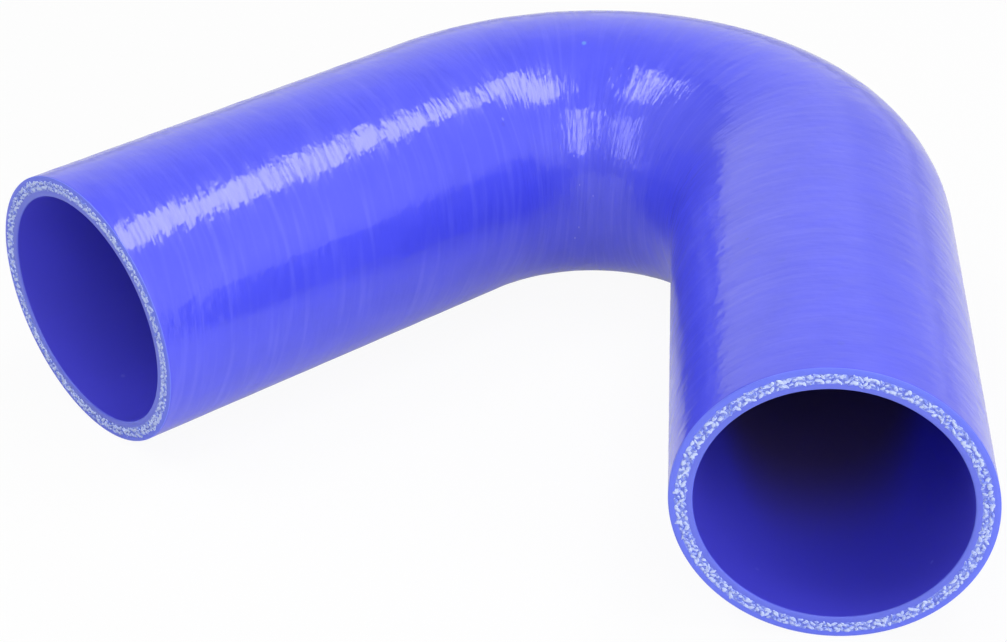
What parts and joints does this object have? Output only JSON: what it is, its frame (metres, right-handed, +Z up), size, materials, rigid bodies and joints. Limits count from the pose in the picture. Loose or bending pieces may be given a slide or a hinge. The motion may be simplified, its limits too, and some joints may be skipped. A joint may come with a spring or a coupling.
{
  "type": "silicone elbow hose",
  "caption": "Moulded elbow hose of fabric-reinforced silicone rubber, with a wide bend between equal straight legs, for joining coolant or air pipes round a corner.",
  "frame": {"origin": "on the surface that the hose lies on, under the middle of its footprint", "axes": "+X from the left mouth towards the right mouth, across both legs; +Y from the mouths towards the outside of the bend; +Z up, square to the plane of the bend"},
  "size_m": [0.2242, 0.155, 0.06],
  "materials": {
    "silicone": "glossy blue silicone skin with fine wrap lines round it, white fabric ends in the cut faces"
  },
  "bodies": {
    "root": {"elbow_hose": "silicone"}
  },
  "joints": []
}
